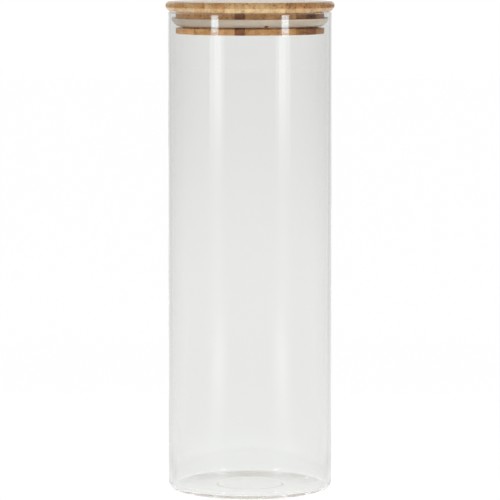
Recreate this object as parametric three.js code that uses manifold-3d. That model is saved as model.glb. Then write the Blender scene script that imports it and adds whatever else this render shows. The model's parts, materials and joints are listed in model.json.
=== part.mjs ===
// Tall glass storage canister with a push-in bamboo lid.
// The jar is one blown glass piece. The lid is two laminated bamboo boards, glued up from upright strips:
// a disc that rests on the rim, and a plug under it with a silicone lip seal in its groove.
// Units are millimetres, +Z is up, and the origin is the centre of the base. The front faces -Y.

import * as THREE from 'three';
import { mergeVertices } from 'three/addons/utils/BufferGeometryUtils.js';
import Module from 'manifold-3d';

// Glass jar
const JAR_DIAMETER = 100; // outside of the wall
const JAR_HEIGHT = 292.6; // base to rim
const WALL = 2.2; // thickness of the wall at the heel
const RIM_WALL = 1.7; // thickness at the rim, to which the wall thins evenly
const RIM_ROUND = 0.5; // fire-polished edges of the rim
const FLOOR = 2.5; // inside floor above the standing ring
const HEEL_ROUND = 3.8; // outside corner between wall and base
const INNER_HEEL_ROUND = 1.9; // inside corner between wall and floor
const STANDING_RING = 1.4; // width of the flat ring that the jar stands on
const PUNT_RISE = 0.45; // climb of the hollow underside, from the standing ring to the middle disc
const PUNT_DIAMETER = 40.4; // middle disc that the mould's base plate leaves, with its bevelled edge
const PUNT_STEP = 0.12; // height of the middle disc's edge
const PUNT_RAMP = 0.7; // width of the middle disc's edge

// Lid disc
const SEAT_GAP = 0.3; // between the rim and the underside of the disc
const DISC_OVERHANG = 1.5; // disc past the outside of the jar
const DISC_THICKNESS = 6.4;
const DISC_TOP_ROUND = 2.4;
const DISC_BEVEL_WIDTH = 2.3; // finger bevel round the underside
const DISC_BEVEL_HEIGHT = 2.8;

// Lid plug
const PLUG_CLEARANCE = 3; // between the plug and the mouth of the jar
const PLUG_DEPTH = 13.3; // below the underside of the disc
const NECK_HEIGHT = 3.9; // land between the disc and the seal groove
const GROOVE_HEIGHT = 5.8;
const GROOVE_DEPTH = 4;
const PLUG_EDGE_ROUND = 0.6;

// Laminated boards: the tone of each strip from -X to +X, pale, middling or dark
const DISC_STRIPS = 'pmpmpmppppppmmmmm';
const PLUG_STRIPS = 'ppppppdpppppmdm';

// Silicone lip seal
const SEAL_CLEARANCE = 0.3; // to the groove, and from the lip to the mouth
const SEAL_BAND = 2; // thickness of the band that hugs the groove
const LIP_DROP = 0.2; // middle of the lip's round edge, below the top of the groove
const SEAL_LIFT = 1; // underside of the seal, above the bottom of the groove
const FIN_THICKNESS = 0.9;
const FIN_LEAN = 20; // degrees that the fin leans outwards at its lip, more towards its foot
const GATE_NOTCH_WIDTH = 2.3; // nick that the trimmed mould gate leaves in the seal's lower edge
const GATE_NOTCH_HEIGHT = 1.3;
const GATE_NOTCH_TURN = 12.6; // degrees from the front, towards +X

// Facets and cuts
const TURN_SEGMENTS = 72; // around a turned piece
const ARC_STEPS = 2; // half of the steps along an arc of a profile
const CUT_MARGIN = 5; // reach of a cutting block past what it cuts

// Sizes that follow from the ones above
const jarRadius = JAR_DIAMETER / 2;
const mouthRadius = jarRadius - RIM_WALL;
const discRadius = jarRadius + DISC_OVERHANG;
const discUnderside = JAR_HEIGHT + SEAT_GAP;
const plugRadius = mouthRadius - PLUG_CLEARANCE;
const grooveRadius = plugRadius - GROOVE_DEPTH;
const grooveTop = -NECK_HEIGHT; // heights of the plug and the seal count from the underside of the disc
const grooveBottom = grooveTop - GROOVE_HEIGHT;
const bandInside = grooveRadius + SEAL_CLEARANCE;
const bandOutside = bandInside + SEAL_BAND;
const lipRadius = mouthRadius - SEAL_CLEARANCE;
const sealBottom = grooveBottom + SEAL_LIFT;

// Colours and finishes
const SILICONE = new THREE.MeshStandardMaterial({ color: 0xbbac9b, roughness: 0.5, metalness: 0 });
const GLASS = new THREE.MeshStandardMaterial({
  color: 0xe2e4e1, roughness: 0.03, metalness: 0, transparent: true, opacity: 0.3,
});
const BAMBOO_TONES = { p: 0xc1a075, m: 0xb08a5c, d: 0x83593a };

function bamboo(tone) {
  return new THREE.MeshStandardMaterial({ color: BAMBOO_TONES[tone], roughness: 0.55, metalness: 0 });
}

// The glass: middle disc, hollow underside, standing ring, heel, wall, rim, thinning bore and floor.
function jarProfile() {
  const puntRadius = PUNT_DIAMETER / 2;
  const footRadius = jarRadius - HEEL_ROUND;
  const boreRadius = jarRadius - WALL;
  const rimLow = JAR_HEIGHT - RIM_ROUND;
  const path = new THREE.Path();
  path.moveTo(0, PUNT_RISE + PUNT_STEP);
  path.lineTo(puntRadius - PUNT_RAMP, PUNT_RISE + PUNT_STEP);
  path.lineTo(puntRadius, PUNT_RISE);
  path.lineTo(footRadius - STANDING_RING, 0);
  path.lineTo(footRadius, 0);
  path.absarc(footRadius, HEEL_ROUND, HEEL_ROUND, -Math.PI / 2, 0);
  path.lineTo(jarRadius, rimLow);
  path.absarc(jarRadius - RIM_ROUND, rimLow, RIM_ROUND, 0, Math.PI / 2);
  path.absarc(mouthRadius + RIM_ROUND, rimLow, RIM_ROUND, Math.PI / 2, Math.PI);
  path.lineTo(boreRadius, FLOOR + INNER_HEEL_ROUND);
  path.absarc(
    boreRadius - INNER_HEEL_ROUND, FLOOR + INNER_HEEL_ROUND, INNER_HEEL_ROUND, 0, -Math.PI / 2, true,
  );
  path.lineTo(0, FLOOR);
  return path;
}

// The disc, from its underside at height 0.
function discProfile() {
  const path = new THREE.Path();
  path.moveTo(0, 0);
  path.lineTo(discRadius - DISC_BEVEL_WIDTH, 0);
  path.lineTo(discRadius, DISC_BEVEL_HEIGHT);
  path.lineTo(discRadius, DISC_THICKNESS - DISC_TOP_ROUND);
  path.absarc(discRadius - DISC_TOP_ROUND, DISC_THICKNESS - DISC_TOP_ROUND, DISC_TOP_ROUND, 0, Math.PI / 2);
  path.lineTo(0, DISC_THICKNESS);
  return path;
}

// The plug, hanging down from height 0, with the seal groove turned in it.
function plugProfile() {
  const bottom = -PLUG_DEPTH;
  const path = new THREE.Path();
  path.moveTo(0, bottom);
  path.lineTo(plugRadius - PLUG_EDGE_ROUND, bottom);
  path.absarc(plugRadius - PLUG_EDGE_ROUND, bottom + PLUG_EDGE_ROUND, PLUG_EDGE_ROUND, -Math.PI / 2, 0);
  path.lineTo(plugRadius, grooveBottom);
  path.lineTo(grooveRadius, grooveBottom);
  path.lineTo(grooveRadius, grooveTop);
  path.lineTo(plugRadius, grooveTop);
  path.lineTo(plugRadius, 0);
  path.lineTo(0, 0);
  return path;
}

// The seal's section: a band in the groove, and a fin that flares from its foot to a round lip at the bore.
function sealProfile() {
  const bandTop = grooveTop - SEAL_CLEARANCE;
  const lipRound = FIN_THICKNESS / 2;
  const lip = new THREE.Vector2(lipRadius - lipRound, grooveTop - LIP_DROP);
  const foot = new THREE.Vector2(bandOutside, sealBottom);

  // The fin's outer face is the arc from the foot to the lip that ends at the given lean.
  const lean = THREE.MathUtils.degToRad(FIN_LEAN);
  const outward = new THREE.Vector2(Math.cos(lean), -Math.sin(lean));
  const faceEnd = lip.clone().addScaledVector(outward, lipRound);
  const chord = faceEnd.clone().sub(foot);
  const halfTurn = Math.atan2(chord.x, chord.y) - lean;
  const outerRadius = chord.length() / (2 * Math.sin(halfTurn));
  const innerRadius = outerRadius - FIN_THICKNESS;
  const centre = faceEnd.clone().addScaledVector(outward, -outerRadius);
  const innerFoot = Math.acos((bandOutside - centre.x) / innerRadius);

  const path = new THREE.Path();
  path.moveTo(bandInside, sealBottom);
  path.lineTo(foot.x, foot.y);
  path.absarc(centre.x, centre.y, outerRadius, -lean - 2 * halfTurn, -lean);
  path.absarc(lip.x, lip.y, lipRound, -lean, Math.PI - lean);
  path.absarc(centre.x, centre.y, innerRadius, -lean, -innerFoot, true);
  path.lineTo(bandOutside, bandTop);
  path.lineTo(bandInside, bandTop);
  path.lineTo(bandInside, sealBottom);
  return path;
}

const wasm = await Module();
wasm.setup();

// A geometry's closed surface as a solid for cutting.
function toSolid(geometry) {
  const bare = geometry.clone();
  bare.deleteAttribute('normal');
  bare.deleteAttribute('uv');
  const merged = mergeVertices(bare);
  return new wasm.Manifold(new wasm.Mesh({
    numProp: 3,
    vertProperties: merged.attributes.position.array,
    triVerts: new Uint32Array(merged.index.array),
  }));
}

function toGeometry(solid) {
  const { vertProperties, triVerts } = solid.getMesh();
  return new THREE.BufferGeometry()
    .setAttribute('position', new THREE.BufferAttribute(vertProperties, 3))
    .setIndex(new THREE.BufferAttribute(triVerts, 1));
}

// A profile of radius and height, turned about the Z axis.
function turned(path) {
  return new THREE.LatheGeometry(path.getPoints(ARC_STEPS), TURN_SEGMENTS).rotateX(Math.PI / 2);
}

function named(name, geometry, material) {
  const mesh = new THREE.Mesh(geometry, material);
  mesh.name = name;
  return mesh;
}

// A laminated board: a turned blank of even upright strips that run front to back, glued face to face.
function laminated(name, path, radius, tones) {
  const board = new THREE.Group();
  const blank = toSolid(turned(path));
  const { min, max } = blank.boundingBox();
  const depth = max[1] - min[1] + 2 * CUT_MARGIN;
  const height = max[2] - min[2] + 2 * CUT_MARGIN;
  const pitch = (2 * radius) / tones.length;
  for (let i = 0; i < tones.length; i++) {
    const left = i === 0 ? -radius - CUT_MARGIN : i * pitch - radius;
    const right = i === tones.length - 1 ? radius + CUT_MARGIN : (i + 1) * pitch - radius;
    const slice = new THREE.BoxGeometry(right - left, depth, height);
    slice.translate((left + right) / 2, 0, (min[2] + max[2]) / 2);
    const strip = toGeometry(blank.intersect(toSolid(slice)));
    const number = String(i + 1).padStart(2, '0');
    board.add(named(`${name}_strip_${number}`, strip, bamboo(tones[i])));
  }
  return board;
}

// The moulded ring, less the nick of its gate.
function seal() {
  const ring = toSolid(turned(sealProfile()));
  const nickTop = sealBottom + GATE_NOTCH_HEIGHT;
  const nick = new THREE.BoxGeometry(GATE_NOTCH_WIDTH, mouthRadius - grooveRadius, nickTop - grooveBottom);
  nick.translate(0, -(mouthRadius + grooveRadius) / 2, (nickTop + grooveBottom) / 2);
  nick.rotateZ(THREE.MathUtils.degToRad(GATE_NOTCH_TURN));
  return named('seal_ring', toGeometry(ring.subtract(toSolid(nick))), SILICONE);
}

const lid = new THREE.Group();
lid.position.z = discUnderside;
lid.add(laminated('disc', discProfile(), discRadius, DISC_STRIPS));
lid.add(laminated('plug', plugProfile(), plugRadius, PLUG_STRIPS));
lid.add(seal());

const canister = new THREE.Group();
canister.add(named('glass_jar', turned(jarProfile()), GLASS));
canister.add(lid);

export default canister;
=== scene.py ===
# %% [markdown]
# # A glass canister with a bamboo lid
# A tall clear jar, closed by a push-in lid. The lid is two laminated bamboo boards, a disc that rests on the
# rim and a plug that hangs in the mouth, and a silicone lip seal sits in the plug's groove. The packed
# solids are the frame: every piece below takes its place and size from them, and stands in for one of them
# with a finer surface. The frame is in metres, and the small sizes of the object are easier to read in
# millimetres.

# %% Load the frame
import json
import math

import bmesh
import bpy
from mathutils import Matrix, Vector


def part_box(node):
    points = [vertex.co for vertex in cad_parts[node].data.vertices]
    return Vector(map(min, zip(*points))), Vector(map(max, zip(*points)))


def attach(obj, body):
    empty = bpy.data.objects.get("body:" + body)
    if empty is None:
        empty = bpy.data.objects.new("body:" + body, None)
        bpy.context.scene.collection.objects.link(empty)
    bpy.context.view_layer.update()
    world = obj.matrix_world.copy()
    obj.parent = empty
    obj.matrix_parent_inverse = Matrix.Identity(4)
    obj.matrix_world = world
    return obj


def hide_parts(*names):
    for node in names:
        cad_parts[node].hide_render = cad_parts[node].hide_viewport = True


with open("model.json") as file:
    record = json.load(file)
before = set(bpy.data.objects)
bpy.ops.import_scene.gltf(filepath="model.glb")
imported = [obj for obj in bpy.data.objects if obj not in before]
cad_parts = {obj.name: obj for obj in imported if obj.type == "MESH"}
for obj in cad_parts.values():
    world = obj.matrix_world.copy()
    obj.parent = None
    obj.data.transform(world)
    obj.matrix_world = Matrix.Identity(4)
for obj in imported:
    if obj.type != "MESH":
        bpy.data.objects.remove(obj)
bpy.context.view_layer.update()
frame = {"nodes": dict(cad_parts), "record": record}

MM = 0.001
nodes = sorted(frame["nodes"])
slot_of = {part["node"]: part["material_slot"] for part in frame["record"]["subparts"]}

# %% [markdown]
# ## The camera
# The photograph is a product shot from far away with a long lens: the jar's sides stay almost parallel, and
# the base shows as a flat ellipse. A lens shift could give the same picture, but it would follow the camera
# into every other view, so the camera is tilted down a few degrees instead.

# %% Camera
CAMERA_PLACE = Vector((0, -2.0, 0.340))
CAMERA_AIM = Vector((0, 0, 0.1469))
LENS = 235.6  # millimetres
SENSOR_WIDTH = 36  # millimetres

sight = CAMERA_AIM - CAMERA_PLACE
camera = bpy.data.objects.new("camera", bpy.data.cameras.new("camera"))
camera.data.lens = LENS
camera.data.sensor_width = SENSOR_WIDTH
camera.location = CAMERA_PLACE
camera.rotation_euler = sight.to_track_quat("-Z", "Y").to_euler()
bpy.context.scene.collection.objects.link(camera)
bpy.context.scene.camera = camera
bpy.context.scene.view_settings.view_transform = "Standard"
print("camera looks down", round(math.degrees(math.atan2(-sight.z, sight.y)), 2), "degrees")

# %% [markdown]
# ## Node helpers
# Materials are trees of nodes, and a few small helpers keep them readable. One adds a node with its settings
# and inputs, one does a sum, one maps a range of values to another range and one mixes two shaders. The last
# two make a material: either with an empty tree, or with the Principled shader that Blender puts in a new
# one.

# %% Node helpers


def node(tree, kind, inputs=(), **settings):
    """A node with its settings, and its inputs given as values or as sockets to link."""
    made = tree.nodes.new(kind)
    for key, value in settings.items():
        setattr(made, key, value)
    for key, value in dict(inputs).items():
        if isinstance(value, bpy.types.NodeSocket):
            tree.links.new(value, made.inputs[key])
        else:
            made.inputs[key].default_value = value
    return made


def math_node(tree, operation, first, second=0.0):
    return node(tree, "ShaderNodeMath", {0: first, 1: second}, operation=operation).outputs[0]


def ranged(tree, value, low, high, to_low=0.0, to_high=1.0, curve="SMOOTHSTEP"):
    inputs = {"Value": value, "From Min": low, "From Max": high, "To Min": to_low, "To Max": to_high}
    return node(tree, "ShaderNodeMapRange", inputs, interpolation_type=curve).outputs[0]


def mixed(tree, factor, first, second):
    return node(tree, "ShaderNodeMixShader", {0: factor, 1: first, 2: second}).outputs[0]


def empty_material(name):
    material = bpy.data.materials.new(name)
    material.use_nodes = True
    material.node_tree.nodes.clear()
    return material, material.node_tree


def principled_material(name):
    material = bpy.data.materials.new(name)
    material.use_nodes = True
    return material, material.node_tree, material.node_tree.nodes["Principled BSDF"]


# %% [markdown]
# ## A white studio
# Glass shows mostly what is around it. The world is plain white to the camera, to reflections and through
# glass, and much softer as a light. Light Path says which kind of ray asks, so one world can be both.

# %% World
WORLD_FILL = 0.3  # the world as a light, next to its white
WHITE = (1, 1, 1)


def seen_directly(tree):
    """A value of 1 for camera, mirror and glass rays, and 0 for the rays that only carry light."""
    path = node(tree, "ShaderNodeLightPath")
    either = math_node(tree, "MAXIMUM", path.outputs["Is Camera Ray"], path.outputs["Is Glossy Ray"])
    return math_node(tree, "MAXIMUM", either, path.outputs["Is Transmission Ray"])


world = bpy.data.worlds.new("white_studio")
world.use_nodes = True
tree = world.node_tree
tree.nodes.clear()
fill = node(tree, "ShaderNodeBackground", {"Color": (*WHITE, 1), "Strength": WORLD_FILL})
backdrop = node(tree, "ShaderNodeBackground", {"Color": (*WHITE, 1)})
surface = mixed(tree, seen_directly(tree), fill.outputs[0], backdrop.outputs[0])
node(tree, "ShaderNodeOutputWorld", {"Surface": surface})
bpy.context.scene.world = world
print("world:", WORLD_FILL, "as a light")

# %% [markdown]
# The floor is a pale sheet that keeps the shadow. Where it is seen, a share of it is lit paint, which
# shadows darken, and the rest is a glow that makes up what the paint lacks to white. That share shrinks with
# distance, so the floor runs into the white of the world without an edge. As a light it throws a strong
# bounce up under the lid.

# %% Floor
FLOOR_SIZE = 12.0
FLOOR_DROP = 0.0002  # keeps the glass foot from lying in the floor's own plane
FLOOR_BOUNCE = 1.6  # light that the floor throws back up, next to plain white
FLOOR_PAINT = (0.9, 0.9, 0.9, 1)
PAINT_LIGHT = 0.5  # how bright the lamps make that paint, next to plain white
FLOOR_SHADE = 0.2  # share of the lit paint in what is seen beside the jar
FAR_SHADE = 0.02  # its share far away
SHADE_NEAR = 0.15  # distances from the jar's axis between which the share falls
SHADE_FAR = 0.9


def from_foot(tree):
    """The distance of a point from the foot of the jar's axis."""
    place = node(tree, "ShaderNodeNewGeometry").outputs["Position"]
    return node(tree, "ShaderNodeVectorMath", {0: place}, operation="LENGTH").outputs["Value"]


bpy.ops.mesh.primitive_plane_add(size=FLOOR_SIZE, location=(0, 0, -FLOOR_DROP))
floor = bpy.context.object
floor.name = "floor"
paper, tree = empty_material("floor_paper")
paint = node(tree, "ShaderNodeBsdfDiffuse", {"Color": FLOOR_PAINT})
seen = seen_directly(tree)
share = ranged(tree, from_foot(tree), SHADE_NEAR, SHADE_FAR, FLOOR_SHADE, FAR_SHADE)
lacking = math_node(tree, "SUBTRACT", 1.0, math_node(tree, "MULTIPLY", share, PAINT_LIGHT))
level = math_node(tree, "DIVIDE", lacking, math_node(tree, "SUBTRACT", 1.0, share))
strength = ranged(tree, seen, 0, 1, FLOOR_BOUNCE, level, "LINEAR")
glow = node(tree, "ShaderNodeEmission", {"Strength": strength})
shown = math_node(tree, "MULTIPLY", seen, share)
surface = mixed(tree, shown, glow.outputs[0], paint.outputs[0])
node(tree, "ShaderNodeOutputMaterial", {"Surface": surface})
floor.data.materials.append(paper)
print("floor", FLOOR_SIZE, "m across")

# %% [markdown]
# ## Cards for the glass
# Clear glass in an all white room is almost invisible, and a white veil lies over what is behind it. A
# photographer puts dark cards round such a jar, outside the picture, and leaves it open to the white behind.
# The cards here are sheets that only mirror images can see: Light Path's Glossy Depth counts a ray's mirror
# bounces, and where there are none the card is transparent. The renderer would also search every glowing
# card as a lamp, which costs samples, so that is turned off.

# %% Card helpers
CARD_STEPS = 66


def bearing_point(bearing, distance, height):
    """A point round the jar, at degrees from the camera's side towards +X."""
    angle = math.radians(bearing)
    return Vector((distance * math.sin(angle), -distance * math.cos(angle), height))


def stage_axes(tree):
    """The X, Y and Z of a point of the stage."""
    place = node(tree, "ShaderNodeNewGeometry").outputs["Position"]
    return node(tree, "ShaderNodeSeparateXYZ", {0: place}).outputs


def in_mirrors(tree):
    """A value of 1 for rays that a mirror has sent on, and 0 for all others."""
    return math_node(tree, "GREATER_THAN", node(tree, "ShaderNodeLightPath").outputs["Glossy Depth"], 0.5)


def curved_card(bm, reach, section):
    """Sweeps a section of distances and heights to a reach on both sides of the camera's bearing."""
    posts = []
    for i in range(CARD_STEPS + 1):
        bearing = reach * (2 * i / CARD_STEPS - 1)
        posts.append([bm.verts.new(bearing_point(bearing, distance, z)) for distance, z in section])
    for post, next_post in zip(posts, posts[1:]):
        for i in range(len(section) - 1):
            bm.faces.new((post[i], next_post[i], next_post[i + 1], post[i + 1]))


def hung(bm, name, material):
    """A stage card from a bmesh, which gives no light and no shadow and isn't searched for as a lamp."""
    material.cycles.emission_sampling = "NONE"
    mesh = bpy.data.meshes.new(name)
    bm.to_mesh(mesh)
    bm.free()
    mesh.materials.append(material)
    sheet = bpy.data.objects.new(name, mesh)
    sheet.visible_camera = False
    sheet.visible_diffuse = False
    sheet.visible_shadow = False
    bpy.context.scene.collection.objects.link(sheet)


# %% [markdown]
# The grey screen is a low card bent round the jar, pale at its foot and dark at its top. It runs on over the
# floor as an apron, which is lighter behind the jar, because the wall's outer edges mirror that part. Close
# to the jar, behind its heel, lies a painted shadow: a darker ring that stands for the jar's own contact
# shadow, with two painted light gaps where the lamps' light comes through. The heel draws it out into a
# broken grey crescent.

# %% Grey screen
SCREEN_RADIUS = 1.0
SCREEN_HEIGHT = 0.315  # just under the path of what the lid's flat top mirrors
SCREEN_REACH = 165  # degrees to each side of the camera's bearing
SCREEN_FOOT = 0.66
SCREEN_TOP = 0.16
SCREEN_TOP_LEVEL = 0.25  # height from which the tone is that of the top
SCREEN_TOP_BEHIND = 0.75
SCREEN_LIGHT_FROM = 0.3  # how far behind the axis the top turns lighter
APRON_RADIUS = 0.062
APRON_FADE = 0.15
APRON_TONE = 0.88
APRON_BEHIND = 0.83
APRON_FAR_BEHIND = 0.74
SHADOW_RING_RADIUS = 0.0465  # painted shadow: a dark ring for the jar's contact shadow, just clear of its standing ring
SHADOW_RING_REACH = 180  # degrees to each side, so all the way round
SHADOW_RING_FADE = 0.004
# tone of the painted contact shadow behind the heel
PAINTED_SHADOW_TONE = 0.5
SHADOW_RING_FROM = 0.01  # how far behind the axis the ring starts to darken
SHADOW_RING_FULL = 0.03
LIGHT_GAP_PLACE = 0.0185  # painted light gaps in the painted shadow ring, to each side of the axis
LIGHT_GAP_WIDTH = 0.0055
PAINTED_LIGHT_GAP_TONE = 0.74

card, tree = empty_material("grey_card")
axes = stage_axes(tree)
away = from_foot(tree)
top = ranged(tree, axes["Y"], SCREEN_LIGHT_FROM, SCREEN_RADIUS, SCREEN_TOP, SCREEN_TOP_BEHIND, "LINEAR")
behind = ranged(tree, away, APRON_FADE, SCREEN_RADIUS, APRON_BEHIND, APRON_FAR_BEHIND, "LINEAR")
foot = ranged(tree, axes["Y"], 0.0, APRON_FADE, SCREEN_FOOT, behind)
foot = ranged(tree, away, APRON_RADIUS, APRON_FADE, APRON_TONE, foot)
# Painted shadow: a dark ring behind the heel stands for the jar's contact shadow, with two painted light gaps
# in it.
from_light_gap = math_node(tree, "SUBTRACT", math_node(tree, "ABSOLUTE", axes["X"]), LIGHT_GAP_PLACE)
from_light_gap = math_node(tree, "ABSOLUTE", from_light_gap)
ring = ranged(tree, from_light_gap, LIGHT_GAP_WIDTH / 4, LIGHT_GAP_WIDTH / 2, PAINTED_LIGHT_GAP_TONE, PAINTED_SHADOW_TONE)
ring = ranged(tree, axes["Y"], SHADOW_RING_FROM, SHADOW_RING_FULL, APRON_TONE, ring)
foot = ranged(tree, away, APRON_RADIUS - SHADOW_RING_FADE, APRON_RADIUS, ring, foot)
tone = ranged(tree, axes["Z"], 0.0, SCREEN_TOP_LEVEL, foot, top)
grey = node(tree, "ShaderNodeEmission", {"Strength": tone})
unseen = node(tree, "ShaderNodeBsdfTransparent")
surface = mixed(tree, in_mirrors(tree), unseen.outputs[0], grey.outputs[0])
node(tree, "ShaderNodeOutputMaterial", {"Surface": surface})

bm = bmesh.new()
curved_card(bm, SHADOW_RING_REACH, ((SHADOW_RING_RADIUS, 0), (APRON_RADIUS, 0)))
curved_card(bm, SCREEN_REACH, ((APRON_RADIUS, 0), (SCREEN_RADIUS, 0), (SCREEN_RADIUS, SCREEN_HEIGHT)))
hung(bm, "grey_screen", card)
print("screen open over", 360 - 2 * SCREEN_REACH, "degrees at the back")

# %% [markdown]
# ## Two soft boxes
# Two tall soft boxes stand in front of the jar, one on each side. An area lamp's power is its brightness
# times pi times its area. A lamp would also show through the jar from behind, like something inside it, so
# the lamps only light: neither mirrors nor glass show them.

# %% Soft boxes
BOX_DISTANCE = 0.95
BOX_BEARINGS = {"left": -49.6, "right": 49.6}
BOX_WIDTH = 0.175
BOX_HEIGHT = 0.95
BOX_LEVEL = 0.725  # height of the boxes' middle
BOX_RADIANCE = 6.0
BOX_COLOUR = (0.74, 0.9, 1.0)  # a little cool, against the warm bamboo behind the bars


def soft_box(name, place, aim, width, height, radiance, colour):
    """An area lamp that looks from its place to its aim, and that mirrors and windows don't show."""
    lamp = bpy.data.lights.new(name, "AREA")
    lamp.shape = "RECTANGLE"
    lamp.size = width
    lamp.size_y = height
    lamp.energy = radiance * math.pi * width * height
    lamp.color = colour
    box = bpy.data.objects.new(name, lamp)
    box.location = place
    box.rotation_euler = (aim - place).to_track_quat("-Z", "Y").to_euler()
    box.visible_camera = False
    box.visible_glossy = False
    box.visible_transmission = False
    bpy.context.scene.collection.objects.link(box)


for side, bearing in BOX_BEARINGS.items():
    place = bearing_point(bearing, BOX_DISTANCE, BOX_LEVEL)
    aim = Vector((0, 0, BOX_LEVEL))
    soft_box(f"soft_box_{side}", place, aim, BOX_WIDTH, BOX_HEIGHT, BOX_RADIANCE, BOX_COLOUR)
print("soft boxes at", BOX_BEARINGS)

# %% [markdown]
# The photograph's glass carries two upright white bars, which are mirror images of the boxes. A vertical
# wall sends a ray on at twice the angle of its normal, so the bars' places give the bearings of the bright
# cards that make them. Adding a Transparent shader to a card's Emission lays its light over what is behind
# it. An upper card makes the small highlights in the round corner inside the base. It shows only through
# glass, so the lid's top, which is seen in the open, stays clear of it.

# %% Bright cards
CARD_DISTANCE = 0.6
CARD_BEARINGS = {"left": -48.85, "right": 48.85}
CARD_WIDTH = 0.109
CARD_BOTTOM = 0.2624
CARD_TOP = 0.29  # the jar's wall, seen from above, mirrors nothing higher
CARD_RADIANCE = 6.6
UPPER_TOP = 0.757
UPPER_RADIANCE = 11.0
FADE_FROM = 0.4  # a card fades between these shares of its height
FADE_TO = 0.92


def in_glass_mirrors(tree):
    """A value of 1 for rays that a mirror has sent on after they went through glass, and 0 for all others."""
    through = node(tree, "ShaderNodeLightPath").outputs["Transmission Depth"]
    return math_node(tree, "MULTIPLY", in_mirrors(tree), math_node(tree, "GREATER_THAN", through, 0.5))


def mirror_light(tree, colour, strength, seen=in_mirrors):
    """Ends a material's tree with light that only mirror images see, laid over what is behind it."""
    strength = math_node(tree, "MULTIPLY", strength, seen(tree))
    glow = node(tree, "ShaderNodeEmission", {"Color": (*colour, 1), "Strength": strength})
    unseen = node(tree, "ShaderNodeBsdfTransparent")
    both = node(tree, "ShaderNodeAddShader", {0: glow.outputs[0], 1: unseen.outputs[0]})
    node(tree, "ShaderNodeOutputMaterial", {"Surface": both.outputs[0]})


def bright_card(name, bearing, width, bottom, top, radiance, colour, foot=1.0, seen=in_mirrors):
    """An upright sheet that glows in mirror images, and fades to a share of its brightness at its foot."""
    sheet, tree = empty_material(name)
    up = stage_axes(tree)["Z"]
    fade_from = bottom + FADE_FROM * (top - bottom)
    fade_to = bottom + FADE_TO * (top - bottom)
    mirror_light(tree, colour, ranged(tree, up, fade_from, fade_to, foot * radiance, radiance), seen)
    middle = bearing_point(bearing, CARD_DISTANCE, 0)
    aside = bearing_point(bearing + 90, width / 2, 0)
    left, right = middle - aside, middle + aside
    corners = ((left, bottom), (right, bottom), (right, top), (left, top))
    bm = bmesh.new()
    bm.faces.new([bm.verts.new((spot.x, spot.y, z)) for spot, z in corners])
    hung(bm, name, sheet)


for side, bearing in CARD_BEARINGS.items():
    bright_card(f"bright_card_{side}", bearing, CARD_WIDTH, CARD_BOTTOM, CARD_TOP, CARD_RADIANCE, BOX_COLOUR)
    bright_card(f"upper_card_{side}", bearing, CARD_WIDTH, CARD_TOP, UPPER_TOP, UPPER_RADIANCE, WHITE,
                seen=in_glass_mirrors)
print("bright cards", CARD_WIDTH, "m wide")

# %% [markdown]
# Below the lid the bars are wider and much fainter. A dimmer skirt hangs under each bright card for that
# part, and fades towards its foot.

# %% Skirts
SKIRT_BEARINGS = {"left": -48.06, "right": 48.06}
SKIRT_WIDTH = 0.1806
SKIRT_BOTTOM = 0.046
SKIRT_RADIANCE = 1.1
SKIRT_FOOT = 0.15  # share of its brightness that is left in the lower half

for side, bearing in SKIRT_BEARINGS.items():
    bright_card(f"skirt_{side}", bearing, SKIRT_WIDTH, SKIRT_BOTTOM, CARD_BOTTOM, SKIRT_RADIANCE, WHITE,
                foot=SKIRT_FOOT)
print("skirts", SKIRT_WIDTH, "m wide")

# %% [markdown]
# Below the boxes lie soft pools of light, which the lower half of the jar mirrors as two faint patches. One
# card on the floor carries both, and turns up at its end to meet the skirts: its brightness falls off
# sideways with the bearing, inwards with the distance, and up the turned end.

# %% Floor pools
POOL_BEARING = 46.5
POOL_SPREAD = 17
POOL_NEAR = 0.1
POOL_RADIANCE = 0.62
POOL_TOP_SHARE = 0.35  # of its brightness, where it meets the skirts
POOL_LIFT = 0.001  # above the apron

pool, tree = empty_material("floor_pools")
axes = stage_axes(tree)
forward = math_node(tree, "MULTIPLY", axes["Y"], -1.0)
turn = math_node(tree, "ARCTAN2", math_node(tree, "ABSOLUTE", axes["X"]), forward)
aside = math_node(tree, "ABSOLUTE", math_node(tree, "SUBTRACT", turn, math.radians(POOL_BEARING)))
strength = ranged(tree, aside, 0.0, math.radians(POOL_SPREAD), POOL_RADIANCE, 0.0)
inwards = ranged(tree, from_foot(tree), POOL_NEAR, CARD_DISTANCE, 0, 1, "LINEAR")
upwards = ranged(tree, axes["Z"], 0.0, SKIRT_BOTTOM, 1.0, POOL_TOP_SHARE)
strength = math_node(tree, "MULTIPLY", math_node(tree, "MULTIPLY", strength, inwards), upwards)
mirror_light(tree, WHITE, strength)

bm = bmesh.new()
section = ((POOL_NEAR, POOL_LIFT), (CARD_DISTANCE, POOL_LIFT), (CARD_DISTANCE, SKIRT_BOTTOM))
curved_card(bm, POOL_BEARING + POOL_SPREAD, section)
hung(bm, "floor_pools", pool)
print("pools reach in to", POOL_NEAR, "m")

# %% [markdown]
# A low soft fill in front reaches in under the lid's overhang, and a small box hangs over the lid's flat top.

# %% Fill and top light
FILL_WIDTH = 1.0
FILL_HEIGHT = 0.3
FILL_LEVEL = 0.25
FILL_RADIANCE = 2.6
TOP_LIGHT_SIZE = 0.4
TOP_LIGHT_LEVEL = 0.9
TOP_LIGHT_RADIANCE = 2.7

in_front = bearing_point(0, BOX_DISTANCE, FILL_LEVEL)
soft_box("front_fill", in_front, Vector((0, 0, FILL_LEVEL)), FILL_WIDTH, FILL_HEIGHT, FILL_RADIANCE, WHITE)
overhead = Vector((0, 0, TOP_LIGHT_LEVEL))
soft_box("top_light", overhead, Vector((0, 0, 0)), TOP_LIGHT_SIZE, TOP_LIGHT_SIZE, TOP_LIGHT_RADIANCE, WHITE)
print("lamps:", len(bpy.data.lights))

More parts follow.
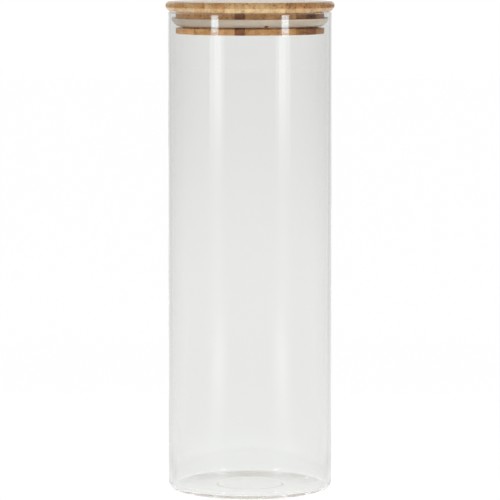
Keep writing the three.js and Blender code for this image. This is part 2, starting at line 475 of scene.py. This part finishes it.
# %% [markdown]
# ## Turning on a lathe
# The jar, the boards and the seal are all round, so one helper makes them: an outline of radius and height
# is swept round the Z axis. Blender's Screw modifier could do this too, but building the rings by hand keeps
# the points on the axis single and the mesh closed. Outlines are written with straight runs and arcs of an
# ellipse.

# %% Lathe helpers
TURN_STEPS = 256
ARC_STEPS = 10


def arc(centre, reach, rise, start, end, steps=ARC_STEPS):
    """Points along an ellipse about centre, from one angle to another in degrees, both ends included."""
    points = []
    for i in range(steps + 1):
        angle = math.radians(start + (end - start) * i / steps)
        points.append((centre[0] + reach * math.cos(angle), centre[1] + rise * math.sin(angle)))
    return points


def eased(before, corner, after, ease, steps=4):
    """Points of a small curve in place of the corner between two straight runs."""
    corner = Vector(corner)
    start = corner + (Vector(before) - corner).normalized() * ease
    end = corner + (Vector(after) - corner).normalized() * ease
    points = []
    for i in range(steps + 1):
        along = i / steps
        point = start * (1 - along) ** 2 + corner * 2 * along * (1 - along) + end * along ** 2
        points.append((point.x, point.y))
    return points


def turned(outline, closed=False, steps=TURN_STEPS):
    """A bmesh, in metres, of an outline in millimetres swept round Z."""
    bm = bmesh.new()
    rings = []
    for radius, height in outline:
        if radius < 1e-6:
            rings.append([bm.verts.new((0, 0, height * MM))])
            continue
        ring = []
        reach = radius * MM
        for i in range(steps):
            angle = 2 * math.pi * i / steps
            ring.append(bm.verts.new((reach * math.cos(angle), reach * math.sin(angle), height * MM)))
        rings.append(ring)
    pairs = list(zip(rings, rings[1:]))
    if closed:
        pairs.append((rings[-1], rings[0]))
    for low, high in pairs:
        for i in range(steps):
            j = (i + 1) % steps
            corners = [low[i % len(low)], low[j % len(low)], high[j % len(high)], high[i % len(high)]]
            face = list(dict.fromkeys(corners))
            if len(face) > 2:
                bm.faces.new(face)
    bmesh.ops.recalc_face_normals(bm, faces=bm.faces)
    return bm


def finished(bm, name, material, crease=35):
    """A smooth-shaded object from a bmesh, with edges sharper than crease degrees kept crisp."""
    mesh = bpy.data.meshes.new(name)
    bm.to_mesh(mesh)
    bm.free()
    mesh.shade_smooth()
    mesh.set_sharp_from_angle(angle=math.radians(crease))
    mesh.materials.append(material)
    piece = bpy.data.objects.new(name, mesh)
    bpy.context.scene.collection.objects.link(piece)
    return piece


# %% [markdown]
# ## Clear glass
# Glass is a Principled shader with full transmission, and its Base Color gives the faint grey green of each
# face that light goes through. Blown glass is never quite even, so a slow noise bends the surface a little,
# except at the base. Lamps could not reach the lid through refracting glass, so shadow rays take a
# plain transparent way.

# %% Glass finish
GLASS_TINT = (0.923, 0.9275, 0.914, 1)
GLASS_IOR = 1.5
WAVES_FROM = 0.004  # heights between which the waves set in
WAVES_FULL = 0.03

glass, tree, shine = principled_material("clear_glass")
shine.inputs["Base Color"].default_value = GLASS_TINT
shine.inputs["Transmission Weight"].default_value = 1
shine.inputs["Roughness"].default_value = 0
shine.inputs["IOR"].default_value = GLASS_IOR
place = node(tree, "ShaderNodeTexCoord").outputs["Object"]
waves = node(tree, "ShaderNodeTexNoise", {"Vector": place, "Scale": 28, "Detail": 1}).outputs["Fac"]
height = node(tree, "ShaderNodeSeparateXYZ", {0: place}).outputs["Z"]
waves = math_node(tree, "MULTIPLY", waves, ranged(tree, height, WAVES_FROM, WAVES_FULL))
bend = node(tree, "ShaderNodeBump", {"Strength": 0.015, "Distance": 0.002, "Height": waves})
tree.links.new(bend.outputs[0], shine.inputs["Normal"])
shadow_ray = node(tree, "ShaderNodeLightPath").outputs["Is Shadow Ray"]
clear = node(tree, "ShaderNodeBsdfTransparent")
surface = mixed(tree, shadow_ray, shine.outputs[0], clear.outputs[0])
tree.links.new(surface, tree.nodes["Material Output"].inputs["Surface"])
print("glass tint", GLASS_TINT[:3])

# %% [markdown]
# Light runs a long way round inside the thick corner of a jar's base. Blender gives up on a ray after a few
# bounces and paints it black, so the limits are raised.

# %% Light bounces
BOUNCES = 512

cycles = bpy.context.scene.cycles
cycles.max_bounces = BOUNCES
cycles.transmission_bounces = BOUNCES
cycles.glossy_bounces = BOUNCES
print("bounces:", cycles.max_bounces)

# %% [markdown]
# ## The jar
# One blown piece. The outline starts in the middle of the hollow underside, crosses the fine ring that the
# mould left there, and falls in a shallow dome to the flat ring that the jar stands on. It goes up round the
# heel and the wall, over the soft edges of the rim, and down the bore, which narrows a little, to a rounded
# corner and the floor. Extra rings along the wall keep the smooth shading of the heel and the rim from
# spreading up it.

# %% Jar
_, jar_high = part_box("glass_jar")
JAR_RADIUS = jar_high[0] / MM
JAR_HEIGHT = jar_high[2] / MM
WALL = 2.2  # just above the heel
RIM_WALL = 1.7
RIM_ROUND = 0.5
FLOOR = 2.5
HEEL_ROUND = 3.8
INNER_HEEL_ROUND = 1.9
STANDING_RING = 1.4  # width of the flat ring that the jar stands on
PUNT_RISE = 0.45  # climb of the hollow underside from the standing ring to the middle disc
DOME_CURVE = 1.6  # the underside falls as this power of the way out, between a cone and a round dome
PUNT_RADIUS = 20.2
PUNT_STEP = 0.12  # edge of the middle disc
PUNT_RAMP = 0.7
SEAM_BEAD = 0.25  # fine raised ring on that edge, left by the mould
WALL_RINGS = 24
DOME_RINGS = 16
HOLD = 0.4  # ring beside a round edge that keeps the flat beyond it flat


def underside():
    """The middle disc, the mould ring at its edge, the dome and the standing ring."""
    middle = PUNT_RADIUS - PUNT_RAMP
    foot = JAR_RADIUS - HEEL_ROUND
    ring = foot - STANDING_RING
    points = [(0, PUNT_RISE + PUNT_STEP), (middle - HOLD, PUNT_RISE + PUNT_STEP)]
    for i in range(ARC_STEPS + 1):
        along = i / ARC_STEPS
        edge = PUNT_STEP * (1 + math.cos(math.pi * along)) / 2 - SEAM_BEAD * math.sin(math.pi * along) ** 2
        points.append((middle + PUNT_RAMP * along, PUNT_RISE + edge))
    for i in range(1, DOME_RINGS + 1):
        along = i / DOME_RINGS
        points.append((PUNT_RADIUS + (ring - PUNT_RADIUS) * along, PUNT_RISE * (1 - along ** DOME_CURVE)))
    points.append((foot - HOLD, 0))
    points += arc((foot, HEEL_ROUND), HEEL_ROUND, HEEL_ROUND, -90, 0)
    return points


def wall_and_floor():
    bore = JAR_RADIUS - WALL
    mouth = JAR_RADIUS - RIM_WALL
    wall_low = max(HEEL_ROUND, FLOOR + INNER_HEEL_ROUND) + HOLD
    wall_high = JAR_HEIGHT - RIM_ROUND - HOLD
    rings = [wall_low + (wall_high - wall_low) * i / WALL_RINGS for i in range(WALL_RINGS + 1)]
    points = [(JAR_RADIUS, z) for z in rings]
    points += arc((JAR_RADIUS - RIM_ROUND, JAR_HEIGHT - RIM_ROUND), RIM_ROUND, RIM_ROUND, 0, 90)
    points += arc((mouth + RIM_ROUND, JAR_HEIGHT - RIM_ROUND), RIM_ROUND, RIM_ROUND, 90, 180)
    for i, z in enumerate(reversed(rings)):
        points.append((mouth + (bore - mouth) * i / WALL_RINGS, z))
    corner = (bore - INNER_HEEL_ROUND, FLOOR + INNER_HEEL_ROUND)
    points += arc(corner, INNER_HEEL_ROUND, INNER_HEEL_ROUND, 0, -90)
    points += [(corner[0] - HOLD, FLOOR), (0, FLOOR)]
    return points


jar = finished(turned(underside() + wall_and_floor()), "clear_jar", glass)
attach(jar, "jar")
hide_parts("glass_jar")
print("jar:", len(jar.data.polygons), "faces")

# %% [markdown]
# ## Bamboo
# Bamboo has no year rings. Across the cut it is pale pith dotted with dark bundles of fibres, and along the
# strip the same bundles show as fine streaks. One solid texture gives both: cells that are small across the
# strip and very long along it. A node group holds it, to be shared by three tones of bamboo. Each strip moves
# the texture by a seed of its own, and that seed and the strip's place are kept as mesh attributes.

# %% Bamboo grain group
SEED_STEPS = {"X": 0.37, "Y": 1.9, "Z": 0.53}  # metres that a seed of 1 moves the texture

grain = bpy.data.node_groups.new("bamboo_grain", "ShaderNodeTree")
for name, kind in (("Pith", "NodeSocketColor"), ("Fibre", "NodeSocketColor"), ("Speckle", "NodeSocketFloat")):
    grain.interface.new_socket(name, in_out="INPUT", socket_type=kind)
grain.interface.new_socket("Color", in_out="OUTPUT", socket_type="NodeSocketColor")
for name in ("Roughness", "Height", "Polish"):
    grain.interface.new_socket(name, in_out="OUTPUT", socket_type="NodeSocketFloat")


def strip_fact(name):
    """A value that every strip carries as a mesh attribute."""
    return node(grain, "ShaderNodeAttribute", attribute_name=name).outputs["Fac"]


given = node(grain, "NodeGroupInput").outputs
place = node(grain, "ShaderNodeTexCoord").outputs["Object"]
seed = strip_fact("strip_seed")
steps = {axis: math_node(grain, "MULTIPLY", seed, step) for axis, step in SEED_STEPS.items()}
shift = node(grain, "ShaderNodeCombineXYZ", steps).outputs[0]
moved = node(grain, "ShaderNodeVectorMath", {0: place, 1: shift}, operation="ADD").outputs[0]


def stretched(along):
    """Coordinates in which the strip's length is shortened, so that a texture is drawn out along it."""
    return node(grain, "ShaderNodeVectorMath", {0: moved, 1: (1, along, 1)}, operation="MULTIPLY").outputs[0]


def drawn_noise(along, scale, detail):
    inputs = {"Vector": stretched(along), "Scale": scale, "Detail": detail}
    return node(grain, "ShaderNodeTexNoise", inputs).outputs["Fac"]


bundles = node(grain, "ShaderNodeTexVoronoi", {"Vector": stretched(0.03), "Scale": 800}).outputs["Distance"]
dots = ranged(grain, bundles, 0.5, 0.2)
streaks = drawn_noise(along=0.02, scale=900, detail=3)
clouds = drawn_noise(along=0.12, scale=210, detail=4)
density = ranged(grain, clouds, 0.35, 0.65)
print("bamboo textures:", len(grain.nodes), "nodes")

# %% [markdown]
# The colour goes from pith to fibre with the streaks and clouds, and the bundles and the glue line at each
# edge of a strip are darker. The glue line comes from the distance to the strip's middle, which is exact at
# every point of a face. Then each strip gets a shade of its own and a strip tone, which on the plug also holds
# painted light from the left. The plug's strips get a painted warmth for the redder look of bamboo in shade,
# and faces that look down and outwards, such as the disc's bevel, are painted paler and cooler, as painted
# light from the floor below.

# %% Bamboo colour
DARK_FIBRE = (0.45, 0.38, 0.34, 1)
SEAM_FROM = 0.96  # share of a strip's half width where the glue line begins
SEAM_DARK = 0.5
SHADE_RANGE = (0.94, 1.06)
# painted light: a paler, cooler colour for faces that look down, standing for the floor's light on them
DOWNWARD_PAINTED_LIGHT_TINT = (1.25, 1.42, 1.5, 1)
# painted shade: the redder look that the plug's bamboo takes in the shade inside the jar
SHADE_WARM_TINT = (1.28, 1.12, 1.02, 1)


def blend(tree, factor, first, second, mode="MIX"):
    mix = node(tree, "ShaderNodeMix", {"Factor": factor}, data_type="RGBA", blend_type=mode)
    for socket, value in ((mix.inputs[6], first), (mix.inputs[7], second)):
        if isinstance(value, bpy.types.NodeSocket):
            tree.links.new(value, socket)
        else:
            socket.default_value = value
    return mix.outputs[2]


def looking_up(tree):
    """How far a face looks up: 1 for a level top, 0 for an upright wall and -1 for an underside."""
    normal = node(tree, "ShaderNodeNewGeometry").outputs["Normal"]
    return node(tree, "ShaderNodeSeparateXYZ", {0: normal}).outputs["Z"]


speckle = math_node(grain, "MULTIPLY", dots, math_node(grain, "MULTIPLY", density, given["Speckle"]))
tint = blend(grain, ranged(grain, streaks, 0.3, 0.75, 0.0, 0.55), given["Pith"], given["Fibre"])
tint = blend(grain, ranged(grain, clouds, 0.35, 0.65, 0.0, 0.6), tint, given["Fibre"])
dark = blend(grain, 1.0, given["Fibre"], DARK_FIBRE, "MULTIPLY")
tint = blend(grain, speckle, tint, dark)
sideways = node(grain, "ShaderNodeSeparateXYZ", {0: place}).outputs["X"]
across = math_node(grain, "SUBTRACT", sideways, strip_fact("strip_centre"))
across = math_node(grain, "DIVIDE", across, strip_fact("strip_half"))
seam = ranged(grain, math_node(grain, "ABSOLUTE", across), SEAM_FROM, 1.0, 0.0, SEAM_DARK)
tint = blend(grain, seam, tint, dark)
upward = looking_up(grain)
# Painted light: faces that look down and outwards, such as the disc's bevel, are painted paler and cooler, as
# if lit from the floor below.
tint = blend(grain, ranged(grain, upward, -0.3, -0.6), tint, DOWNWARD_PAINTED_LIGHT_TINT, "MULTIPLY")
own = ranged(grain, seed, 0, 1, *SHADE_RANGE, "LINEAR")
# the strip tone holds the plug's darker browner strips and its painted light from the left
shade = math_node(grain, "MULTIPLY", own, strip_fact("strip_tone_and_light"))
tint = node(grain, "ShaderNodeVectorMath", {0: tint, "Scale": shade}, operation="SCALE").outputs[0]
# Painted shade: the plug's strips are painted warmer, for the redder look of bamboo in the shade inside the
# jar.
tint = blend(grain, strip_fact("shade_warmth"), tint, SHADE_WARM_TINT, "MULTIPLY")
print("bamboo colour:", len(grain.nodes), "nodes in all")

# %% [markdown]
# The streaks also give the roughness and a fine relief. The polish is a clear coat whose weight follows the
# way a face looks: the turned rim and the flat underside have almost none, and the top and the bevel have it
# in full.

# %% Bamboo surface
rough = ranged(grain, streaks, 0.2, 0.8, 0.42, 0.58)
relief = math_node(grain, "SUBTRACT", streaks, math_node(grain, "MULTIPLY", dots, 0.5))
polish = ranged(grain, math_node(grain, "ABSOLUTE", upward), 0.15, 0.6, 0.1, 0.9)
polish = math_node(grain, "MULTIPLY", polish, ranged(grain, upward, -0.95, -0.75, 0.1, 1.0))
node(grain, "NodeGroupOutput", {"Color": tint, "Roughness": rough, "Height": relief, "Polish": polish})
print("bamboo grain:", len(grain.nodes), "nodes in all")

# %% [markdown]
# The three tones differ only in the colours that go into the group and in how strongly they are speckled.
# Each material also sets the polish's index of refraction, which is higher where a face looks down, so the
# bevel mirrors more than the top. Colours are easiest to judge as they look on a screen, and shaders want
# them linear, so a helper turns one into the other.

# %% Bamboo finishes
COAT_ROUGHNESS = 0.2
WOOD_SPECULAR = 0.05
DOWN_IOR = 1.9  # index of the polish on faces that look down
UP_IOR = 1.25


def srgb(red, green, blue):
    """A colour read off a screen, 0 to 255, as the linear values that shaders take."""
    return tuple(((v / 255 + 0.055) / 1.055) ** 2.4 for v in (red, green, blue)) + (1,)


def bamboo(name, pith, fibre, speckle):
    material, tree, wood = principled_material(name)
    tones = {"Pith": pith, "Fibre": fibre, "Speckle": speckle}
    made = node(tree, "ShaderNodeGroup", tones, node_tree=grain)
    bumps = {"Strength": 0.25, "Distance": 0.0002, "Height": made.outputs["Height"]}
    relief = node(tree, "ShaderNodeBump", bumps)
    tree.links.new(made.outputs["Color"], wood.inputs["Base Color"])
    tree.links.new(made.outputs["Roughness"], wood.inputs["Roughness"])
    tree.links.new(relief.outputs[0], wood.inputs["Normal"])
    tree.links.new(made.outputs["Polish"], wood.inputs["Coat Weight"])
    index = ranged(tree, looking_up(tree), -0.3, 0.3, DOWN_IOR, UP_IOR)
    tree.links.new(index, wood.inputs["Coat IOR"])
    wood.inputs["Specular IOR Level"].default_value = WOOD_SPECULAR
    wood.inputs["Coat Roughness"].default_value = COAT_ROUGHNESS
    return material


BAMBOO = {
    "bamboo_pale": bamboo("bamboo_pale", srgb(178, 145, 103), srgb(148, 108, 65), 0.8),
    "bamboo_mid": bamboo("bamboo_mid", srgb(165, 125, 80), srgb(133, 91, 52), 0.85),
    "bamboo_dark": bamboo("bamboo_dark", srgb(120, 80, 49), srgb(78, 45, 27), 0.95),
}
print("tones:", ", ".join(BAMBOO))

# %% [markdown]
# ## The lid's boards
# Each board is glued up from strips and turned round afterwards, so the strips are cut from one turned
# blank: the blank is sliced by two planes, and the cuts are filled. The frame says where the seams are.
# First come the two outlines.

# %% Board outlines
DISC_TOP_ROUND = 2.4
DISC_BEVEL_WIDTH = 2.3
DISC_BEVEL_HEIGHT = 2.8
BEVEL_EASE = 0.6
NECK_HEIGHT = 3.9
GROOVE_HEIGHT = 5.8
GROOVE_DEPTH = 4.0
PLUG_EDGE_ROUND = 0.6


def board_box(kind):
    """The strips of a board, with the radius, underside and top of the whole board in millimetres."""
    strips = [name for name in nodes if name.startswith(kind)]
    boxes = [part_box(name) for name in strips]
    radius = max(high[0] for low, high in boxes) / MM
    return strips, radius, boxes[0][0][2] / MM, boxes[0][1][2] / MM


def disc_outline(radius, low, high):
    bevel_low = (radius - DISC_BEVEL_WIDTH, low)
    bevel_high = (radius, low + DISC_BEVEL_HEIGHT)
    points = [(0, low), (bevel_low[0] - BEVEL_EASE - HOLD, low)]
    points += eased((0, low), bevel_low, bevel_high, BEVEL_EASE)
    points += eased(bevel_low, bevel_high, (radius, high), BEVEL_EASE)
    points += arc((radius - DISC_TOP_ROUND, high - DISC_TOP_ROUND), DISC_TOP_ROUND, DISC_TOP_ROUND, 0, 90)
    points += [(radius - DISC_TOP_ROUND - HOLD, high), (0, high)]
    return points


def plug_outline(radius, low, high):
    groove_top = high - NECK_HEIGHT
    groove_bottom = groove_top - GROOVE_HEIGHT
    groove = radius - GROOVE_DEPTH
    edge = (radius - PLUG_EDGE_ROUND, low + PLUG_EDGE_ROUND)
    points = [(0, low), (edge[0] - HOLD, low)]
    points += arc(edge, PLUG_EDGE_ROUND, PLUG_EDGE_ROUND, -90, 0, 4)
    points += [(radius, groove_bottom), (groove, groove_bottom), (groove, groove_top), (radius, groove_top)]
    points += [(radius, high), (0, high)]
    return points


# %% [markdown]
# A strip's material follows its slot in the record. The plug's strips are painted warmer than the disc's,
# as painted shade for the redder look of bamboo in the shade inside the jar, its browner strips are darker,
# and painted light makes it lighter towards the left.

# %% Boards
# share of the painted shade warmth that each board's strips get
SHADE_WARMTH = {"disc": 0.0, "plug": 1.0}
SHADES = {("plug", "bamboo_mid"): 0.7}
PAINTED_LIGHT_LEFT = {"disc": 0.0, "plug": 0.25}  # painted light: gain in tone of a strip at the board's left edge, as if lit more from the left


def strip_of(blank, left, right):
    """The part of a blank between two upright planes, closed again."""
    bm = blank.copy()
    for x, side in ((left, -1), (right, 1)):
        whole = bm.verts[:] + bm.edges[:] + bm.faces[:]
        bmesh.ops.bisect_plane(bm, geom=whole, plane_co=(x, 0, 0), plane_no=(side, 0, 0), clear_outer=True)
        rim = [edge for edge in bm.edges if edge.is_boundary]
        if rim:
            bmesh.ops.edgeloop_fill(bm, edges=rim)
    bmesh.ops.recalc_face_normals(bm, faces=bm.faces)
    return bm


def board(kind, outline):
    strips, radius, low, high = board_box(kind)
    blank = turned(outline(radius, low, high))
    for number, name in enumerate(strips):
        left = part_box(name)[0][0]
        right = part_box(name)[1][0]
        centre = (left + right) / 2
        # painted light: the plug is made lighter towards its left
        leftward = max(0, -centre / MM / radius)
        strip = finished(strip_of(blank, left, right), f"{kind}_lath_{number + 1:02d}", BAMBOO[slot_of[name]])
        facts = {
            "strip_seed": (0.618 * (number + 1) + 0.31 * len(strips)) % 1,
            "shade_warmth": SHADE_WARMTH[kind],
            "strip_tone_and_light": SHADES.get((kind, slot_of[name]), 1.0) * (1 + PAINTED_LIGHT_LEFT[kind] * leftward),
            "strip_centre": centre,
            "strip_half": (right - left) / 2,
        }
        for fact, value in facts.items():
            values = strip.data.attributes.new(fact, "FLOAT", "POINT").data
            values.foreach_set("value", [value] * len(values))
        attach(strip, "lid")
        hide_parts(name)
    blank.free()
    print(kind, "board:", len(strips), "strips, radius", round(radius, 2), "mm")


board("disc", disc_outline)
board("plug", plug_outline)

# %% [markdown]
# ## The lip seal
# The seal is milky silicone: light goes a little way into it, so it looks soft and takes some colour from the
# bamboo behind it. A part of its light therefore scatters below the surface.

# %% Silicone finish
silicone, tree, rubber = principled_material("milky_silicone")
place = node(tree, "ShaderNodeTexCoord").outputs["Object"]
mottle = node(tree, "ShaderNodeTexNoise", {"Vector": place, "Scale": 160, "Detail": 3}).outputs["Fac"]
colour = blend(tree, mottle, srgb(193, 178, 161), srgb(177, 162, 146))
tree.links.new(colour, rubber.inputs["Base Color"])
tree.links.new(ranged(tree, mottle, 0.3, 0.7, 0.38, 0.5), rubber.inputs["Roughness"])
rubber.inputs["Subsurface Weight"].default_value = 0.3
rubber.inputs["Subsurface Scale"].default_value = 0.002
print("silicone:", len(tree.nodes), "nodes")

# %% [markdown]
# In section the seal is an upright band in the groove, with a fin that flares from its foot out and up to the
# glass. The fin's outer face is one arc. Its two ends and the lean at its lip are known, and they give its
# centre.

# %% Seal section
SEAL_CLEARANCE = 0.3
SEAL_BAND = 2.0
SEAL_LIFT = 1.0  # underside of the seal, above the bottom of the groove
LIP_DROP = 0.2
FIN_THICKNESS = 0.9
FIN_LEAN = 20  # degrees that the fin leans outwards at its lip

_, plug_radius, _, plug_high = board_box("plug")
groove_top = plug_high - NECK_HEIGHT
groove_bottom = groove_top - GROOVE_HEIGHT
band_inside = plug_radius - GROOVE_DEPTH + SEAL_CLEARANCE
band_outside = band_inside + SEAL_BAND
lip = JAR_RADIUS - RIM_WALL - SEAL_CLEARANCE
seal_bottom = groove_bottom + SEAL_LIFT


def seal_outline():
    """A band, and a fin whose outer face is the arc from its foot to the lip that ends at the given lean."""
    tip = FIN_THICKNESS / 2
    tip_centre = Vector((lip - tip, groove_top - LIP_DROP))
    lean = math.radians(FIN_LEAN)
    outward = Vector((math.cos(lean), -math.sin(lean)))
    chord = tip_centre + outward * tip - Vector((band_outside, seal_bottom))
    half_turn = math.atan2(chord.x, chord.y) - lean
    outer = chord.length / (2 * math.sin(half_turn))
    inner = outer - FIN_THICKNESS
    centre = tip_centre + outward * (tip - outer)
    foot_angle = FIN_LEAN + 2 * math.degrees(half_turn)
    inner_foot = math.degrees(math.acos((band_outside - centre.x) / inner))
    points = [(band_inside, seal_bottom)]
    points += arc(centre, outer, outer, -foot_angle, -FIN_LEAN)
    points += arc(tip_centre, tip, tip, -FIN_LEAN, 180 - FIN_LEAN)[1:]
    points += arc(centre, inner, inner, -FIN_LEAN, -inner_foot)[1:]
    points += [(band_outside, groove_top - SEAL_CLEARANCE), (band_inside, groove_top - SEAL_CLEARANCE)]
    return points


print("seal lip", round(lip, 2), "mm from the axis")

# %% [markdown]
# A small nick in the seal's lower edge is where the mould's gate was trimmed off. A Boolean modifier cuts it,
# and the evaluated mesh takes the place of the old one, so that the finished seal carries no modifier.

# %% Seal
NICK_WIDTH = 2.3
NICK_HEIGHT = 1.3
NICK_TURN = 12.6  # degrees from the front, towards +X


def cut_away(piece, low, high, turn):
    """Takes a block between two corners in millimetres, turned about Z, out of a piece."""
    bm = bmesh.new()
    bmesh.ops.create_cube(bm, size=1)
    for corner in bm.verts:
        corner.co = [(low[i] + (high[i] - low[i]) * (corner.co[i] + 0.5)) * MM for i in range(3)]
    bmesh.ops.rotate(bm, verts=bm.verts, matrix=Matrix.Rotation(math.radians(turn), 3, "Z"))
    block = finished(bm, "cutting_block", silicone)
    cut = piece.modifiers.new("cut", "BOOLEAN")
    cut.operation = "DIFFERENCE"
    cut.object = block
    bpy.context.view_layer.update()
    result = bpy.data.meshes.new_from_object(piece.evaluated_get(bpy.context.evaluated_depsgraph_get()))
    piece.modifiers.clear()
    piece.data = result
    bpy.data.objects.remove(block)


seal = finished(turned(seal_outline(), closed=True), "lip_seal", silicone)
nick_low = (-NICK_WIDTH / 2, -lip, groove_bottom)
nick_high = (NICK_WIDTH / 2, SEAL_CLEARANCE - band_inside, seal_bottom + NICK_HEIGHT)
cut_away(seal, nick_low, nick_high, NICK_TURN)
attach(seal, "seal")
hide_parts("seal_ring")
print("seal:", len(seal.data.polygons), "faces")

# %% [markdown]
# ## Finish
# The last line brings the view layer up to date.

# %% Finish
bpy.context.view_layer.update()
